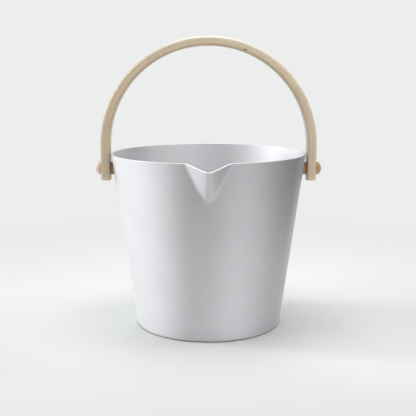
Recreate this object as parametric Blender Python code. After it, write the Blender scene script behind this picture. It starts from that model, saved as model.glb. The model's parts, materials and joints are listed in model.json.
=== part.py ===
"""Sauna bucket: a drawn aluminium pail with a pressed pouring spout and a bentwood bow handle.

Metres, +Z up. The origin is the centre of the flat underside. The spout faces -Y, and the
handle swings about an axis along X that runs through a turned wooden boss on each side.
"""

import math

import bmesh
import bpy
from mathutils import Matrix, Vector

# Pail: one seamless shell, measured on its outer skin
RIM_RADIUS = 0.110
BASE_RADIUS = 0.083  # where the line of the wall meets the floor
PAIL_HEIGHT = 0.197
WALL = 0.0016
BASE_FILLET = 0.0020
RIM_ROUND = 0.0006

# Spout: a V pressed outwards from the wall, with its lip drawn down
SPOUT_HALF_WIDTH = 0.0234
SPOUT_HEIGHT = 0.0453
SPOUT_REACH = 0.0140
SPOUT_DROP = 0.0078
SPOUT_NOSE = 0.0040  # half the width of the round along the ridge
SPOUT_CREASE = 0.0024  # half the width of the fillet where the V leaves the wall

# Bow handle: a bent lath of even section, measured from the pivot axis
PIVOT_DROP = 0.0177  # pivot axis below the rim
LEG_CLEARANCE = 0.0017  # rim to the inner face of a leg
BOW_RISE = 0.0256  # pivot axis to the springing line of the half-circle
LEG_TAIL = 0.0139  # pivot axis to the end of a leg
BOW_THICKNESS = 0.0104
BOW_WIDTH = 0.0200
BOW_EDGE = 0.0027
TAIL_CORNER = 0.0060

# Pivot hardware, the same on both sides
SCREW_RADIUS = 0.0020
HEAD_RADIUS = 0.0040
HEAD_HEIGHT = 0.0026
DRIVE_FLATS = 0.0025
DRIVE_DEPTH = 0.0014
DRIVE_LAND = 0.0005  # flat of the head round its hexagon socket
DRIVE_ROLL = math.radians(5)  # where the hexagon stopped when the screw was tightened
WASHER_RADIUS = 0.0050
WASHER_THICKNESS = 0.0010
SEAL_RADIUS = 0.0060
SEAL_THICKNESS = 0.0017  # on the axis: the seal is a wedge that makes up the slope of the wall
SPACER_RADIUS = 0.0072
SPACER_EDGE = 0.0005
BUSH_RADIUS = 0.0030
INSERT_RADIUS = 0.0032
KNOB_RADIUS = 0.0075
KNOB_HEIGHT = 0.0061
KNOB_EDGE = 0.0008
KNOB_CROWN = 0.0016  # wood left between the insert's socket and the top of the dome

# Clearances
FIT = 0.0002  # round a turned piece in its hole
SEAT = 0.0003  # between two faces that bear on each other
SCREW_PLAY = 0.0004  # round the screw where it passes through the wall

# Mesh divisions, of the pail over half its round
WALL_COLUMNS = 33
SPOUT_COLUMNS = 14
SPOUT_ROWS = 15
FILLET_STEPS = 4
ARCH_STEPS = 20
TAIL_STEPS = 4
CORNER_STEPS = 3
TURN_STEPS = 32
DOME_STEPS = 7
WELD = 0.000001  # points closer than this are one
FLAT_ANGLE = math.radians(0.05)  # faces that meet at less are merged
SHARP_ANGLE = math.radians(35)  # edges that turn by more are shaded sharp
RIM_ANGLE = math.radians(60)  # only the rim's own edges turn by more

# Places that follow from the sizes above
WALL_SLOPE = math.atan2(RIM_RADIUS - BASE_RADIUS, PAIL_HEIGHT)
WALL_ACROSS = WALL / math.cos(WALL_SLOPE)  # wall thickness measured level
SPOUT_ROOT = PAIL_HEIGHT - SPOUT_HEIGHT
SPOUT_LOWEST = SPOUT_ROOT - SPOUT_HEIGHT * SPOUT_CREASE / SPOUT_HALF_WIDTH
SPOUT_SPREAD = SPOUT_HALF_WIDTH + 2 * SPOUT_CREASE  # half the width that the pressing disturbs
PIVOT_HEIGHT = PAIL_HEIGHT - PIVOT_DROP
LEG_INNER = RIM_RADIUS + LEG_CLEARANCE
LEG_OUTER = LEG_INNER + BOW_THICKNESS
BORE_RADIUS = SCREW_RADIUS + FIT
DRIVE_RADIUS = DRIVE_FLATS / math.sqrt(3)


def wall_radius(height):
    """Outer radius of the pail's cone at a height above the floor."""
    return BASE_RADIUS + (RIM_RADIUS - BASE_RADIUS) * height / PAIL_HEIGHT


# Stations along the pivot axis, from the inside of the pail outwards
WALL_OUTSIDE = wall_radius(PIVOT_HEIGHT)
WALL_INSIDE = WALL_OUTSIDE - WALL_ACROSS
SEAL_FACE = WALL_INSIDE - SEAT - SEAL_THICKNESS
WASHER_OUT = SEAL_FACE - SEAT
WASHER_IN = WASHER_OUT - WASHER_THICKNESS
HEAD_OUT = WASHER_IN - SEAT
HEAD_IN = HEAD_OUT - HEAD_HEIGHT
KNOB_BASE = LEG_OUTER + SEAT
KNOB_TIP = KNOB_BASE + KNOB_HEIGHT
SOCKET_END = KNOB_TIP - KNOB_CROWN
INSERT_END = SOCKET_END - SEAT
SCREW_END = INSERT_END - SEAT


def clear_scene():
    for old in list(bpy.data.objects):
        bpy.data.objects.remove(old, do_unlink=True)


def finish(name, colour, roughness, metallic=0.0):
    """A Principled BSDF material."""
    made = bpy.data.materials.new(name)
    made.use_nodes = True
    shader = made.node_tree.nodes["Principled BSDF"]
    shader.inputs["Base Color"].default_value = (*colour, 1.0)
    shader.inputs["Roughness"].default_value = roughness
    shader.inputs["Metallic"].default_value = metallic
    return made


def add_object(name, bm, material, parent=None):
    """The bmesh as a smooth-shaded object with one material."""
    mesh = bpy.data.meshes.new(name)
    bm.to_mesh(mesh)
    bm.free()
    mesh.shade_smooth()
    mesh.set_sharp_from_angle(angle=SHARP_ANGLE)
    mesh.materials.append(material)
    made = bpy.data.objects.new(name, mesh)
    bpy.context.scene.collection.objects.link(made)
    made.parent = parent
    return made


def add_pivot(name, facing=0.0):
    """An empty on the pivot axis, turned about Z."""
    made = bpy.data.objects.new(name, None)
    made.location = (0, 0, PIVOT_HEIGHT)
    made.rotation_euler = (0, 0, facing)
    bpy.context.scene.collection.objects.link(made)
    return made


def loft(rings, wrapped):
    """A skin from row to row of points: a wrapped row is a closed loop. The first row is capped."""
    bm = bmesh.new()
    rows = [[bm.verts.new(point) for point in ring] for ring in rings]
    count = len(rows[0])
    spans = count if wrapped else count - 1
    for low, high in zip(rows, rows[1:]):
        for i in range(spans):
            j = (i + 1) % count
            bm.faces.new((low[i], low[j], high[j], high[i]))
    bm.faces.new(rows[0][::-1])
    return bm


def mirror_across(piece):
    """The other half, on -X, joined to the first along the plane x = 0."""
    mirror = piece.modifiers.new("other_half", "MIRROR")
    mirror.merge_threshold = WELD


def cross_bar(name, radius, reach, sides=TURN_STEPS, roll=0.0):
    """A cutter: a bar along the pivot axis through both sides of the pail."""
    bm = bmesh.new()
    bmesh.ops.create_cone(
        bm,
        cap_ends=True,
        segments=sides,
        radius1=radius,
        radius2=radius,
        depth=2 * reach,
        matrix=Matrix.Rotation(roll, 4, "Z"),
    )
    mesh = bpy.data.meshes.new(name)
    bm.to_mesh(mesh)
    bm.free()
    bar = bpy.data.objects.new(name, mesh)
    bar.location = (0, 0, PIVOT_HEIGHT)
    bar.rotation_euler = (0, math.pi / 2, 0)
    bar.hide_render = True
    bar.display_type = "WIRE"
    bpy.context.scene.collection.objects.link(bar)
    return bar


def cut(piece, cutter):
    boolean = piece.modifiers.new(f"cut_{cutter.name}", "BOOLEAN")
    boolean.operation = "DIFFERENCE"
    boolean.object = cutter


# Pail


def column_angles():
    """Angles over half the pail, 0 at the spout: close together over the spout, even elsewhere."""
    sector = math.asin(SPOUT_SPREAD / RIM_RADIUS)
    spout = [sector * i / SPOUT_COLUMNS for i in range(SPOUT_COLUMNS)]
    rest = math.pi - sector
    wall = [sector + rest * i / WALL_COLUMNS for i in range(WALL_COLUMNS + 1)]
    return spout + wall


def pail_profile():
    """(radius, height) pairs of the outer skin, from the edge of the flat base up to the rim."""
    centre = BASE_RADIUS + BASE_FILLET * (math.tan(WALL_SLOPE) - 1 / math.cos(WALL_SLOPE))
    sweep = math.pi / 2 - WALL_SLOPE
    points = []
    for i in range(FILLET_STEPS + 1):
        angle = -math.pi / 2 + sweep * i / FILLET_STEPS
        points.append(
            (centre + BASE_FILLET * math.cos(angle), BASE_FILLET * (1 + math.sin(angle)))
        )
    for i in range(SPOUT_ROWS + 1):
        height = SPOUT_LOWEST + (PAIL_HEIGHT - SPOUT_LOWEST) * i / SPOUT_ROWS
        points.append((wall_radius(height), height))
    return points


def press_spout(point):
    """Moves a point of the front wall out and down with the V of the spout."""
    if point.y > 0:
        return point
    rise = (point.z - SPOUT_ROOT) / SPOUT_HEIGHT
    across = abs(point.x)
    if across < SPOUT_NOSE:
        across = (across**2 + SPOUT_NOSE**2) / (2 * SPOUT_NOSE)
    depth = rise - across / SPOUT_HALF_WIDTH
    fillet = SPOUT_CREASE / SPOUT_HALF_WIDTH
    if depth <= -fillet:
        return point
    share = depth if depth >= fillet else (depth + fillet) ** 2 / (4 * fillet)
    # Rounding the ridge lowers it, so the whole V is drawn out until its nose has the full reach.
    share /= 1 - SPOUT_NOSE / (2 * SPOUT_HALF_WIDTH)
    return point + share * Vector((0, -SPOUT_REACH, -SPOUT_DROP))


def is_pressed(face):
    """Whether a face of the skin lies in the part of the wall that the spout disturbs."""
    centre = face.calc_center_median()
    return centre.y < 0 and abs(centre.x) < SPOUT_SPREAD and centre.z > SPOUT_LOWEST


def build_pail(material):
    """Half the outer skin, mirrored, given its thickness and drilled for the pivots."""
    angles = column_angles()
    rings = [
        [
            press_spout(Vector((radius * math.sin(a), -radius * math.cos(a), height)))
            for a in angles
        ]
        for radius, height in pail_profile()
    ]
    bm = loft(rings, wrapped=False)
    # Over the spout the quads are split along its crease. Elsewhere a column is flat, so its
    # rows are merged into one face.
    pressed = [face for face in bm.faces if len(face.verts) == 4 and is_pressed(face)]
    bmesh.ops.triangulate(bm, faces=pressed, quad_method="FIXED")
    plain = [vert for vert in bm.verts if not any(is_pressed(face) for face in vert.link_faces)]
    bmesh.ops.dissolve_limit(bm, angle_limit=FLAT_ANGLE, verts=plain, edges=[])
    pail = add_object("pail_shell", bm, material)
    mirror_across(pail)

    skin = pail.modifiers.new("wall", "SOLIDIFY")
    skin.thickness = WALL
    skin.offset = -1
    skin.use_even_offset = True
    lip = pail.modifiers.new("rim", "BEVEL")
    lip.width = RIM_ROUND
    lip.segments = 2
    lip.limit_method = "ANGLE"
    lip.angle_limit = RIM_ANGLE
    hole = SCREW_RADIUS + SCREW_PLAY
    cut(pail, cross_bar("wall_hole_cutter", hole, LEG_INNER))


# Bow handle


def lath_section(half_width):
    """Rounded rectangle of the lath as (across the thickness, along the width) pairs."""
    half_thickness = BOW_THICKNESS / 2
    corners = [(1, -1, -90), (1, 1, 0), (-1, 1, 90), (-1, -1, 180)]
    points = []
    for across, along, start in corners:
        for i in range(CORNER_STEPS + 1):
            angle = math.radians(start + 90 * i / CORNER_STEPS)
            points.append(
                (
                    across * (half_thickness - BOW_EDGE) + BOW_EDGE * math.cos(angle),
                    along * (half_width - BOW_EDGE) + BOW_EDGE * math.sin(angle),
                )
            )
    return points


def lath_ring(centre, outwards, half_width):
    """The section at one station of the bow, square to its run."""
    return [
        Vector((centre[0] + t * outwards[0], w, centre[1] + t * outwards[1]))
        for t, w in lath_section(half_width)
    ]


def build_bow(material, pivot):
    """Half the bow from the end of a leg up to the crown, mirrored."""
    run = LEG_INNER + BOW_THICKNESS / 2
    half_width = BOW_WIDTH / 2
    corner = min(TAIL_CORNER, half_width - BOW_EDGE)
    rings = []
    for i in range(TAIL_STEPS + 1):
        angle = math.pi / 2 * i / TAIL_STEPS
        height = -LEG_TAIL + corner * (1 - math.cos(angle))
        narrowed = half_width - corner * (1 - math.sin(angle))
        rings.append(lath_ring((run, height), (1, 0), narrowed))
    for i in range(ARCH_STEPS + 1):
        angle = math.pi / 2 * i / ARCH_STEPS
        outwards = (math.cos(angle), math.sin(angle))
        centre = (run * outwards[0], BOW_RISE + run * outwards[1])
        rings.append(lath_ring(centre, outwards, half_width))
    for point in rings[-1]:
        point.x = 0.0
    bow = add_object("bow_handle", loft(rings, wrapped=True), material, pivot)
    mirror_across(bow)
    bore = BUSH_RADIUS + FIT
    reach = LEG_OUTER + BOW_THICKNESS
    cut(bow, cross_bar("bush_bore_cutter", bore, reach))


# Turned pieces on the pivot axis


def turn(profile, bored):
    """Spins (station, radius) pairs about the X axis; a bored profile is a closed loop."""
    bm = bmesh.new()
    points = [bm.verts.new((x, 0, radius)) for x, radius in profile]
    edges = [bm.edges.new(pair) for pair in zip(points, points[1:])]
    if bored:
        edges.append(bm.edges.new((points[-1], points[0])))
    bmesh.ops.spin(
        bm,
        geom=points + edges,
        cent=(0, 0, 0),
        axis=(1, 0, 0),
        angle=2 * math.pi,
        steps=TURN_STEPS,
        use_merge=True,
    )
    bmesh.ops.remove_doubles(bm, verts=bm.verts[:], dist=WELD)
    bmesh.ops.recalc_face_normals(bm, faces=bm.faces[:])
    return bm


def fit_to_wall(bm, station, inset, gap):
    """Moves the face at a station onto the cone of the wall, less an inset, plus a gap."""
    for vert in bm.verts:
        if abs(vert.co.x - station) < WELD:
            radius = wall_radius(PIVOT_HEIGHT + vert.co.z) - inset
            vert.co.x = math.sqrt(radius**2 - vert.co.y**2) + gap
    return bm


def tube(inner_end, outer_end, bore, radius):
    return [(inner_end, bore), (inner_end, radius), (outer_end, radius), (outer_end, bore)]


def screw_shape():
    """Button head inside the pail, shank out to the insert in the knob."""
    flat = DRIVE_RADIUS + DRIVE_LAND
    profile = [(HEAD_IN, 0)]
    for i in range(DOME_STEPS + 1):
        angle = math.pi / 2 * i / DOME_STEPS
        station = HEAD_OUT - HEAD_HEIGHT * math.cos(angle)
        profile.append((station, flat + (HEAD_RADIUS - flat) * math.sin(angle)))
    profile += [(HEAD_OUT, SCREW_RADIUS), (SCREW_END, SCREW_RADIUS), (SCREW_END, 0)]
    return turn(profile, bored=False)


def washer_shape():
    return turn(tube(WASHER_IN, WASHER_OUT, BORE_RADIUS, WASHER_RADIUS), bored=True)


def seal_shape():
    bm = turn(tube(SEAL_FACE, WALL_INSIDE, BORE_RADIUS, SEAL_RADIUS), bored=True)
    return fit_to_wall(bm, WALL_INSIDE, WALL_ACROSS, -SEAT)


def spacer_shape():
    """Short turned boss between wall and leg, with its outer edge broken."""
    face = LEG_INNER - SEAT
    profile = [
        (WALL_OUTSIDE, BORE_RADIUS),
        (WALL_OUTSIDE, SPACER_RADIUS),
        (face - SPACER_EDGE, SPACER_RADIUS),
        (face, SPACER_RADIUS - SPACER_EDGE),
        (face, BORE_RADIUS),
    ]
    return fit_to_wall(turn(profile, bored=True), WALL_OUTSIDE, 0, SEAT)


def bush_shape():
    return turn(tube(LEG_INNER, LEG_OUTER, BORE_RADIUS, BUSH_RADIUS), bored=True)


def insert_shape():
    return turn(tube(KNOB_BASE, INSERT_END, BORE_RADIUS, INSERT_RADIUS), bored=True)


def knob_shape():
    """Domed button with a blind socket for the threaded insert."""
    socket = INSERT_RADIUS + FIT
    dome_base = KNOB_BASE + KNOB_EDGE
    profile = [(SOCKET_END, 0), (SOCKET_END, socket), (KNOB_BASE, socket)]
    profile.append((KNOB_BASE, KNOB_RADIUS - KNOB_EDGE))
    for i in range(DOME_STEPS + 1):
        angle = math.pi / 2 * i / DOME_STEPS
        station = dome_base + (KNOB_TIP - dome_base) * math.sin(angle)
        radius = KNOB_RADIUS * math.cos(angle) if i < DOME_STEPS else 0
        profile.append((station, radius))
    return turn(profile, bored=False)


def build_pivots(bow_pivot, metal, brass, rubber, boss_wood):
    """The fixed stack on each side rides on its own empty, and the bushes turn with the bow."""
    drive = cross_bar("drive_cutter", DRIVE_RADIUS, HEAD_IN + DRIVE_DEPTH, 6, DRIVE_ROLL)
    for side, facing in (("right", 0.0), ("left", math.pi)):
        fixed = add_pivot(f"pivot_{side}", facing)
        screw = add_object(f"pivot_screw_{side}", screw_shape(), metal, fixed)
        cut(screw, drive)
        add_object(f"flat_washer_{side}", washer_shape(), metal, fixed)
        add_object(f"seal_washer_{side}", seal_shape(), rubber, fixed)
        add_object(f"spacer_{side}", spacer_shape(), boss_wood, fixed)
        add_object(f"knob_insert_{side}", insert_shape(), brass, fixed)
        add_object(f"knob_{side}", knob_shape(), boss_wood, fixed)
        bush = add_object(f"pivot_bush_{side}", bush_shape(), brass, bow_pivot)
        bush.rotation_euler = (0, 0, facing)


def main():
    clear_scene()
    aluminium = finish("anodised_aluminium", (0.62, 0.63, 0.65), 0.38, 1.0)
    lath = finish("bent_birch", (0.60, 0.49, 0.34), 0.5)
    boss = finish("turned_boss_wood", (0.38, 0.23, 0.13), 0.45)
    steel = finish("stainless_steel", (0.60, 0.59, 0.57), 0.28, 1.0)
    brass = finish("brass", (0.72, 0.52, 0.22), 0.3, 1.0)
    rubber = finish("seal_rubber", (0.03, 0.03, 0.032), 0.7)

    bow_pivot = add_pivot("bow_pivot")
    build_pail(aluminium)
    build_bow(lath, bow_pivot)
    build_pivots(bow_pivot, steel, brass, rubber, boss)


main()
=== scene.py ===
"""Sauna bucket: a drawn aluminium pail with a pressed spout and a bentwood bow handle.

Metres, +Z up. The spout faces -Y, and the handle swings about an axis along X.
"""

import json
import math

import bmesh
import bpy
from bpy.props import FloatProperty, FloatVectorProperty, PointerProperty
from bpy.types import Operator, Panel, PropertyGroup
from mathutils import Matrix, Vector


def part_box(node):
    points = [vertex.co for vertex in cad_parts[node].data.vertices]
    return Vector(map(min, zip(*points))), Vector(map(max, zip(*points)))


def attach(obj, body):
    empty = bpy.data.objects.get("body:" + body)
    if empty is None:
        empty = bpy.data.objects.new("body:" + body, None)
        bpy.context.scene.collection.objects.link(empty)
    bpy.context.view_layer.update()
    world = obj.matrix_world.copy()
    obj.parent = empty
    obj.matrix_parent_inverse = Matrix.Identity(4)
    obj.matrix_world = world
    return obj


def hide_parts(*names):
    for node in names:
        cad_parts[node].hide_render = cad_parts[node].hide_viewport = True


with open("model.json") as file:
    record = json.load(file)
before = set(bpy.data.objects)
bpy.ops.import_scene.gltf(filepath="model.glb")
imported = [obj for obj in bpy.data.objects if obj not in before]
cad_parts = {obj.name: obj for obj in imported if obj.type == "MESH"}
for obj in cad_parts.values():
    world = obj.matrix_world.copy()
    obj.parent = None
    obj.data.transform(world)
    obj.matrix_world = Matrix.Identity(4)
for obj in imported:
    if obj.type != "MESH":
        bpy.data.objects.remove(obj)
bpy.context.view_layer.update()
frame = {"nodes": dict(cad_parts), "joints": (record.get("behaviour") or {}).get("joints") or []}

bl_info = {
    "name": "Sauna Bucket",
    "version": (1, 0, 0),
    "blender": (4, 5, 0),
    "location": "View3D > Sidebar > Bucket",
    "description": "Models a drawn aluminium sauna bucket with a bentwood bow handle",
    "category": "Add Mesh",
}

WELD = 0.00001  # points closer than this are one
SMOOTH_ANGLE = math.radians(35)  # a sharper edge between two faces stays sharp
RIM_ANGLE = math.radians(60)  # near the top, only the two edges of the rim are sharper than this

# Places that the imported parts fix
BOX = {node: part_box(node) for node in frame["nodes"]}
RIM_HEIGHT = BOX["pail_shell"][1].z
PIVOT = Vector(frame["joints"][0]["pos_m"])
LEG_INNER = BOX["pivot_bush_right"][0].x
LEG_OUTER = BOX["bow_handle"][1].x
LATH_THICKNESS = LEG_OUTER - LEG_INNER
LATH_HALF_WIDTH = BOX["bow_handle"][1].y
LATH_LOW = BOX["bow_handle"][0].z
LATH_RUN = (LEG_INNER + LEG_OUTER) / 2  # radius of the middle of the bow
SPRING = BOX["bow_handle"][1].z - LEG_OUTER  # height where the half-circle leaves the legs

# Mesh divisions
SPOUT_COLUMNS = 96
SPOUT_ROWS = 80
WALL_COLUMNS = 132
WALL_ROWS = 10
FILLET_STEPS = 6
RIM_STEPS = 3
TAIL_STEPS = 16
ARCH_STEPS = 64
CORNER_STEPS = 6
TURN_STEPS = 96
DOME_STEPS = 20
EDGE_STEPS = 4
UNPRESS_STEPS = 12

# Patterns of the pail, as heights
RUBBED_FROM = RIM_HEIGHT - 0.0010
RUBBED_TO = RIM_HEIGHT - 0.0002
# The painted shade in the seam fades out from the foot up to this many times its height
SEAM_FADE = 1.25  # the dark seam ends at this many times the height of the foot

# Patterns of the bow, along it from its crown, through it from its middle, and across it
FLECK_PLACE = (0.0425, -0.0023, -LATH_HALF_WIDTH)
FLECK_SIZE = (0.0034, 0.0009, 0.0030)
# Painted highlight on the outer edges fades out over this run from the crown
EDGE_HIGHLIGHT_RUN = (0.05, 0.13)
# Painted shade on the belly weakens over this run
BELLY_SHADE_RUN = (0.10, 0.17)
# The legs darken over this run
LEGS_DARKER_RUN = (0.10, 0.20)
# Painted shade on the belly, from this depth to this one
BELLY_DEPTH = (-0.0012, -0.0052)

# Patterns of the bosses
ALDER_HEART = Vector((0.0, 0.004, 0.150))
ALDER_RING = 0.0016
WAVE_UNIT = math.pi / 10  # scale at which a wave texture repeats once per unit

# Camera, as it stood before the bucket
CAMERA_PLACE = (-0.0006, -0.9092, 0.29275)
CAMERA_PITCH = math.radians(80.03)
SENSOR = 36.0
LENS = 69.28

# Studio: the floor fades into the backdrop between these distances
FLOOR_RADIUS = 6.0
FLOOR_DROP = 0.0001
FADE_NEAR = 0.30
FADE_FAR = 0.75
# Painted shade dims the floor towards the camera, between these places along a line from front to back
DIM_LINE = (0.15, 1.0, 0.0)
DIM_FRONT = -0.205
DIM_BACK = -0.120
DIM_SHADE = 0.925
# Dark curtain past the front and right edges of the table, which only the metal reflects
CURTAIN_RADIUS = 0.50
CURTAIN_HEIGHT = 0.70
CURTAIN_ENDS = (math.radians(-36), math.radians(127))  # from the camera towards the right
CURTAIN_STEPS = 48
AMBIENT = 0.245  # strength of the even light from all round
AIM = Vector((0, 0, 0.10))  # the soft boxes face this point
# Name, azimuth from the camera towards the right, elevation, distance, width, height and power
SOFT_BOXES = (
    ("key_low_behind", -135, 8, 8.0, 1.6, 2.0, 48.0),
    ("key_low", -115, 8, 8.0, 1.6, 2.0, 21.0),
    ("key_high_behind", -100, 28, 8.0, 1.6, 2.0, 150.0),
    ("key_high", -85, 28, 8.0, 1.6, 2.0, 40.0),
    ("key_high_front", -70, 28, 8.0, 1.6, 2.0, 50.0),
    ("fill_middle", 4, 10, 6.0, 1.5, 2.1, 12.0),
    ("fill_front", 25, 10, 6.0, 3.0, 2.1, 40.0),
    ("fill_right", 50, 10, 6.0, 3.0, 2.1, 53.0),
    ("fill_high", 100, 45, 6.0, 3.0, 2.1, 54.0),
    ("back", 180, 35, 6.0, 3.0, 2.1, 26.0),
    ("top", 0, 90, 1.1, 0.8, 0.8, 7.2),
)


def linear(code):
    """An sRGB hex colour as linear red, green and blue."""
    channels = [int(code[i : i + 2], 16) / 255 for i in (0, 2, 4)]
    return [c / 12.92 if c <= 0.04045 else ((c + 0.055) / 1.055) ** 2.4 for c in channels]


def length(name, description, default):
    """A property that holds a length in metres."""
    return FloatProperty(name=name, description=description, default=default, min=0.0, unit="LENGTH")


def colour(name, description, code):
    """A property that holds a colour, given as sRGB hex."""
    return FloatVectorProperty(
        name=name,
        description=description,
        default=linear(code),
        min=0.0,
        max=1.0,
        subtype="COLOR",
    )


class BucketSizes(PropertyGroup):
    """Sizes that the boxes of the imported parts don't give"""

    rim_radius: length("Rim radius", "Outside of the wall at the rim", 0.110)
    base_radius: length("Base radius", "Where the line of the wall meets the floor", 0.083)
    pail_height: length("Pail height", "Floor to rim", 0.197)
    wall: length("Wall", "Thickness of the sheet", 0.0016)
    base_fillet: length("Base fillet", "Round along the lower edge of the wall", 0.0007)
    foot_height: length("Foot height", "How far the wall ends above the floor", 0.0008)
    foot_inset: length("Foot inset", "How far the foot stands in from the wall", 0.0035)
    rim_round: length("Rim round", "Round along both edges of the rim", 0.0005)
    spout_half_width: length("Spout half width", "Half the V at the rim", 0.0234)
    spout_height: length("Spout height", "Root of the V to the rim", 0.0453)
    spout_reach: length("Spout reach", "How far the lip is pressed out", 0.0140)
    spout_drop: length("Spout drop", "How far the lip is drawn down", 0.0078)
    spout_nose: length("Spout nose", "Round of the ridge at the lip", 0.0030)
    spout_root: length("Spout root", "Round of the ridge at the root", 0.0065)
    spout_crease: length("Spout crease", "Half the fillet where the V leaves the wall", 0.0028)
    lath_back: length("Lath back", "Round along the outer edges of the lath", 0.0042)
    lath_belly: length("Lath belly", "Round along the inner edges of the lath", 0.0027)
    tail_corner: length("Tail corner", "Round at the end of a leg, seen from the side", 0.0060)
    tail_edge: length("Tail edge", "Broken edge across the end of a leg", 0.0010)
    shank_radius: length("Shank radius", "Pivot screw", 0.0020)
    drive_flats: length("Drive flats", "Across the hexagon socket of the screw", 0.0025)
    drive_depth: length("Drive depth", "Depth of the hexagon socket", 0.0014)
    drive_land: length("Drive land", "Flat of the head round its socket", 0.0005)
    boss_edge: length("Boss edge", "Broken edge of spacers and knobs", 0.0008)
    washer_edge: length("Washer edge", "Broken edge of washers and seals", 0.0002)
    seat: length("Seat", "Gap between faces that bear on each other", 0.0003)
    fit: length("Fit", "Gap round a turned piece in its hole", 0.0002)


class BucketColours(PropertyGroup):
    """Colours of the finishes and of the studio"""

    aluminium: colour("Aluminium", "Anodised sheet", "E4E4E7")
    rubbed_rim: colour("Rubbed rim", "Bare aluminium along the rim", "D8D9DA")
    lath_pale: colour("Lath pale", "Early wood of the bow", "EDDCBF")
    lath_dark: colour("Lath dark", "Late wood of the bow", "DCC6A6")
    lath_pore: colour("Lath pore", "Pores of the bow", "C3A57D")
    lath_fleck: colour("Lath fleck", "Bark fleck in the bow", "6B4228")
    # Painted shade for the belly of the bow, in a brown tone
    lath_belly_shade: colour("Lath handled", "Belly of the bow, browned by hands", "966E46")
    # Painted highlight for the outer edges of the bow
    lath_edge_highlight: colour("Lath rubbed", "Outer edges of the bow, rubbed pale", "E7E0CE")
    boss_pale: colour("Boss pale", "Early wood of the bosses", "CAAC88")
    boss_dark: colour("Boss dark", "Late wood of the bosses", "AE8462")
    # Painted light for the left knob
    boss_left_light: colour("Boss sap", "Paler sapwood of the left knob", "F8DFC6")
    steel: colour("Steel", "Screws and washers", "CBC9C5")
    brass: colour("Brass", "Bushes and inserts", "D8B36A")
    tarnish: colour("Tarnish", "Brown on the brass", "8A6A38")
    rubber: colour("Rubber", "Seals", "2B2B2D")
    bloom: colour("Bloom", "Grey bloom on the seals", "4A4A4B")
    floor: colour("Floor", "Studio floor", "F2F4F3")
    backdrop: colour("Backdrop", "Studio background", "ECEEED")
    curtain: colour("Curtain", "Dark curtain before the table", "1E1E1F")


# Modelling


def use(piece):
    """Makes a piece the only one selected, and active."""
    bpy.ops.object.select_all(action="DESELECT")
    piece.select_set(True)
    bpy.context.view_layer.objects.active = piece


def start_plane(name):
    """A new unit plane in edit mode, selected all over."""
    bpy.ops.object.select_all(action="DESELECT")
    bpy.ops.mesh.primitive_plane_add(size=1)
    piece = bpy.context.object
    piece.name = name
    piece.data.name = name
    bpy.ops.object.mode_set(mode="EDIT")
    bpy.ops.mesh.select_mode(type="VERT")
    return piece


def start_line(name, points):
    """A new mesh in edit mode that holds a line from point to point."""
    piece = start_plane(name)
    bpy.ops.mesh.merge(type="CENTER")
    bpy.ops.transform.translate(value=points[0])
    for here, there in zip(points, points[1:]):
        bpy.ops.mesh.extrude_vertices_move(TRANSFORM_OT_translate={"value": there - here})
    return piece


def select_where(test):
    """Selects the vertices whose place passes a test, with the edges and faces between them."""
    bpy.ops.mesh.select_all(action="DESELECT")
    mesh = bpy.context.object.data
    bm = bmesh.from_edit_mesh(mesh)
    for vert in bm.verts:
        if test(vert.co):
            vert.select_set(True)
    bm.select_flush(True)
    bmesh.update_edit_mesh(mesh)


def merge_doubles():
    bpy.ops.mesh.select_all(action="SELECT")
    bpy.ops.mesh.remove_doubles(threshold=WELD)


def close_mesh():
    """Turns every face outwards and leaves edit mode."""
    bpy.ops.mesh.select_all(action="SELECT")
    bpy.ops.mesh.normals_make_consistent(inside=False)
    bpy.ops.object.mode_set(mode="OBJECT")


def apply_modifier(piece, kind, **settings):
    """Adds a modifier with its settings and applies it."""
    use(piece)
    modifier = piece.modifiers.new(kind.lower(), kind)
    for name, value in settings.items():
        setattr(modifier, name, value)
    bpy.ops.object.modifier_apply(modifier=modifier.name)


def cut(piece, cutter, operation="DIFFERENCE"):
    """Cuts a piece with the mesh of another, which is then removed."""
    apply_modifier(piece, "BOOLEAN", object=cutter, operation=operation)
    bpy.data.objects.remove(cutter)


def cross_bar(radius, reach, sides=TURN_STEPS):
    """A cutter along the pivot axis through both sides of the pail."""
    bpy.ops.object.select_all(action="DESELECT")
    bpy.ops.mesh.primitive_cylinder_add(
        vertices=sides,
        radius=radius,
        depth=2 * reach,
        location=PIVOT,
        rotation=(0, math.pi / 2, 0),
    )
    return bpy.context.object


def pail_cone(sizes, offset):
    """A solid cone that runs level with the outside of the wall, at an offset."""
    bpy.ops.object.select_all(action="DESELECT")
    bpy.ops.mesh.primitive_cone_add(
        vertices=4 * TURN_STEPS,
        radius1=sizes.base_radius + offset,
        radius2=sizes.rim_radius + offset,
        depth=sizes.pail_height,
        location=(0, 0, sizes.pail_height / 2),
    )
    return bpy.context.object


def smooth(piece):
    """Shades a piece smooth between its sharp edges."""
    use(piece)
    bpy.ops.object.shade_smooth_by_angle(angle=SMOOTH_ANGLE)


def arc(centre, radii, start, end, steps):
    """Points of a quarter ellipse between two angles, given in degrees."""
    points = []
    for i in range(steps + 1):
        angle = math.radians(start + (end - start) * i / steps)
        points.append((centre[0] + radii[0] * math.cos(angle), centre[1] + radii[1] * math.sin(angle)))
    return points


def turn_piece(name, profile, bored):
    """Turns (station, radius) pairs about the pivot axis; a bored profile is a closed loop."""
    if bored:
        profile = profile + profile[:1]
    piece = start_line(name, [PIVOT + Vector((station, 0, radius)) for station, radius in profile])
    bpy.ops.mesh.select_all(action="SELECT")
    bpy.ops.mesh.spin(steps=TURN_STEPS, angle=2 * math.pi, center=PIVOT, axis=(1, 0, 0))
    merge_doubles()
    close_mesh()
    return piece


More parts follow.
